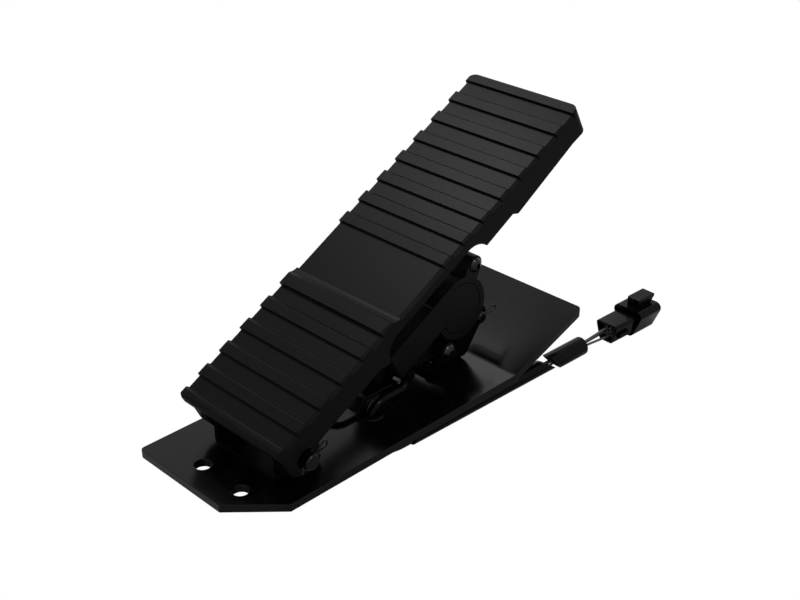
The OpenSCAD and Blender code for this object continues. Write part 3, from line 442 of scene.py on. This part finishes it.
def isCurved(face, settings):
    # one facet of a round: it turns a little across one of its long edges
    least, most, share = settings["least"], settings["most"], settings["long"]
    longest = max(edge.calc_length() for edge in face.edges)
    long = [edge for edge in face.edges if edge.calc_length() > share * longest]
    return any(least < edge.calc_face_angle(0) < most for edge in long)


def joinedCopy(node):
    bm = bmesh.new()
    bm.from_mesh(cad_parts[node].data)
    if node == "base_plate":
        clipSlivers(bm, sliverSettings)
    bmesh.ops.remove_doubles(bm, verts=bm.verts, dist=sameSpot)
    return bm


def makePiece(bm, name, material):
    mesh = bpy.data.meshes.new(name)
    bm.to_mesh(mesh)
    bm.free()
    mesh.materials.append(material)
    piece = bpy.data.objects.new(name, mesh)
    scene.collection.objects.link(piece)
    return piece


def bevel(bm, edges, width, segments):
    # strays that the bevel throws off are put back on the surface they came from
    surface = BVHTree.FromBMesh(bm)
    bmesh.ops.bevel(
        bm, geom=edges, offset=width, offset_type="OFFSET", affect="EDGES",
        segments=segments, profile=0.5, material=-1,
    )
    for vert in bm.verts:
        spot, _, _, away = surface.find_nearest(vert.co)
        if away > strayFrom * width:
            vert.co = spot


def softened(node, settings):
    bm = joinedCopy(node)
    bmesh.ops.dissolve_limit(bm, angle_limit=oneFace, verts=bm.verts, edges=bm.edges)
    bmesh.ops.recalc_face_normals(bm, faces=bm.faces)
    bmesh.ops.connect_verts_concave(bm, faces=bm.faces[:])
    bmesh.ops.recalc_face_normals(bm, faces=bm.faces)
    if node == "treadle":
        backs = [edge for edge in bm.edges if isRibBack(edge, ribSettings)]
        heelBacks = [edge for edge in backs if edge.verts[0].co.y < ribSettings["toeFrom"]]
        bevel(bm, heelBacks, ribSettings["flat"], 1)
    sharp = [edge for edge in bm.edges if edge.calc_face_angle() > sharpFrom]
    if node == "treadle":
        sharp = [edge for edge in sharp if isOutside(edge, wallSettings)]
        sharp = [edge for edge in sharp if not isRibBack(edge, ribSettings)]
    bevel(bm, sharp, settings["width"], edgeSegments)
    for face in bm.faces:
        face.smooth = isCurved(face, roundSettings)
    piece = makePiece(bm, node + "_soft", finish[settings["look"]])
    piece.modifiers.new("even_shading", "WEIGHTED_NORMAL").keep_sharp = True
    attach(piece, settings["body"])
    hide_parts(node)
    return piece


soft = {node: softened(node, how) for node, how in edgeSettings.items()}
print("edges softened:", len(soft))


windSettings = {
    "nodes": ["return_spring_left", "return_spring_right"],
    "reach": 5.5 * mm,      # above and below the pin, where the coils take up the turn
}


def windable(node):
    # a joined copy of the spring with its place baked in; it stays where it is and does not wind up
    # with the treadle
    bm = joinedCopy(node)
    bmesh.ops.recalc_face_normals(bm, faces=bm.faces)
    piece = makePiece(bm, node + "_wound", finish["spring"])
    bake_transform(piece)
    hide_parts(node)


for node in windSettings["nodes"]:
    windable(node)
print("springs wound:", len(windSettings["nodes"]))


# the same route as in part.scad, in mm
cableSettings = {"radius": 3.3 * mm, "roundness": 5, "steps": 6, "route": [
    (13.1, 124.4, 20.6), (13.1, 124.4, 17.4), (13.1, 124, 15.1), (13.1, 122.8, 13),
    (13.1, 120.8, 11.7), (13.1, 118, 11.2), (13.1, 113, 11.2), (13.1, 108, 11.2),
    (13.1, 104.4, 10.9), (13.1, 101.2, 10), (13.1, 98.6, 8.4), (13.1, 96.8, 6.2),
    (13.1, 96, 3.6), (13.1, 95.7, 1), (13.2, 95.4, -1.6), (13.8, 94.6, -4.1),
    (15.3, 93.6, -6.4), (17.6, 92.6, -8.2), (20.5, 92, -9.3), (23.7, 91.8, -9.7),
    (26.9, 92.4, -9.3), (29.6, 93.9, -8.4), (31.8, 96.3, -7.2), (33.4, 99.3, -6.1),
    (34.3, 102.6, -5.3), (34.6, 106, -4.9), (36.36, 158.97, -4.9), (38.11, 211.94, -4.9),
]}


def layTube(name, spots, settings, look):
    curve = bpy.data.curves.new(name, "CURVE")
    curve.dimensions = "3D"
    curve.bevel_depth = settings["radius"]
    curve.bevel_resolution = settings["roundness"]
    curve.resolution_u = settings["steps"]
    curve.use_fill_caps = True
    line = curve.splines.new("BEZIER")
    line.bezier_points.add(len(spots) - 1)
    for knot, spot in zip(line.bezier_points, spots):
        knot.co = spot
        knot.handle_left_type = knot.handle_right_type = "AUTO"
    tube = bpy.data.objects.new(name, curve)
    scene.collection.objects.link(tube)
    curve.materials.append(finish[look])
    return tube


def makeCable(settings):
    spots = [Vector(spot) * mm for spot in settings["route"]]
    cable = layTube("cable_jacket", spots, settings, "rubber")
    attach(cable, "base")
    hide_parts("cable")
    return cable


# the straight end of the lead, in mm and degrees, and the places along it
leadSettings = {"start": (34.6, 106, -4.9), "turn": -1.9}
wireSettings = {
    "radius": 0.8 * mm, "roundness": 3, "steps": 12,
    "start": 106, "sleeve": 128, "out": 147.5, "into": 173, "end": 179,
    "bundle": 1.4, "seats": 2.8,    # from the lead's middle, in the sleeve and in the plug
    "spread": 6,                    # steps in which they spread
    "turns": (90, 210, 330),
}


def onLead(x, y, z):
    turn = Matrix.Rotation(radians(leadSettings["turn"]), 3, "Z")
    return (Vector(leadSettings["start"]) + turn @ Vector((x, y, z))) * mm


def makeWire(name, turn, settings):
    steps = settings["spread"]
    span = settings["into"] - settings["out"]
    stops = [(settings[at], 0) for at in ("start", "sleeve", "out")]
    for i in range(1, steps):
        stops.append((settings["out"] + span * i / steps, (1 - cos(pi * i / steps)) / 2))
    stops += [(settings[at], 1) for at in ("into", "end")]
    spots = []
    for along, share in stops:
        ring = settings["bundle"] + (settings["seats"] - settings["bundle"]) * share
        spots.append(onLead(ring * cos(radians(turn)), along, ring * sin(radians(turn))))
    wire = layTube(name, spots, settings, "wire")
    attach(wire, "base")
    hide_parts("wires")
    return wire


cable = makeCable(cableSettings)
onWires = [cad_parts[name] for name in ("wedge_lock", "terminals", "wire_seals")]
onWires += [soft["connector_body"], soft["connector_latch"]]
for letter, turn in zip("abc", wireSettings["turns"]):
    wire = makeWire("wire_" + letter, turn, wireSettings)
print("lead laid")


# white to the camera, and pale to the light that the part gets back from it
floorSettings = {"height": -0.0152, "size": 6.0, "colour": (0.86, 0.86, 0.86), "rough": 0.9}


def makeFloor(settings):
    bm = bmesh.new()
    bmesh.ops.create_grid(bm, x_segments=1, y_segments=1, size=settings["size"] / 2)
    bmesh.ops.translate(bm, verts=bm.verts, vec=(0, 0, settings["height"]))
    pale = {"Base Color": (*settings["colour"], 1), "Roughness": settings["rough"]}
    shader = Shader("pale_floor", pale)
    seen = shader.add("ShaderNodeLightPath", out="Is Camera Ray")
    white = shader.add("ShaderNodeEmission", {}, {"Color": (1, 1, 1, 1), "Strength": 1.0})
    lit = Wire(shader, shader.principled.outputs[0])
    mixed = shader.add("ShaderNodeMixShader", {}, {0: seen, 1: lit, 2: white})
    shader.feed(shader.tree.nodes["Material Output"].inputs["Surface"], mixed)
    makePiece(bm, "floor", shader.material)


lampSettings = [
    # name, place, aimed at, width, strength in watts
    ("key", (-0.44, 0.20, 0.80), (0.0, 0.20, 0.12), 0.16, 3.2),
    ("rim", (0.75, 0.12, 0.82), (0.0, 0.12, 0.08), 0.08, 2.0),
    ("back", (-0.76, 1.14, 0.80), (0.03, 0.17, 0.0), 0.36, 0.38),
]


def makeLamps(settings):
    for name, place, aim, width, watts in settings:
        data = bpy.data.lights.new(name, "AREA")
        data.size = width
        data.energy = watts
        lamp = bpy.data.objects.new(name, data)
        lamp.location = place
        lamp.rotation_euler = (Vector(aim) - Vector(place)).to_track_quat("-Z", "Y").to_euler()
        scene.collection.objects.link(lamp)


# white where it is looked at, straight, through or in a reflection; softer as a light
worldSettings = {"light": 0.30, "white": 1.0, "rays": ("Camera", "Glossy", "Transmission")}


def makeWorld(settings):
    world = bpy.data.worlds.new("studio")
    scene.world = world
    world.use_nodes = True
    sky = Nodes(world.node_tree)
    rays = [sky.add("ShaderNodeLightPath", out="Is %s Ray" % kind) for kind in settings["rays"]]
    background = world.node_tree.nodes["Background"]
    background.inputs["Color"].default_value = (1, 1, 1, 1)
    strength = sky.levels(rays[0] + rays[1] + rays[2], (0, 1), (settings["light"], settings["white"]))
    sky.feed(background.inputs["Strength"], strength)


makeFloor(floorSettings)
makeLamps(lampSettings)
makeWorld(worldSettings)
scene.view_settings.view_transform = "Standard"
print("stage set")
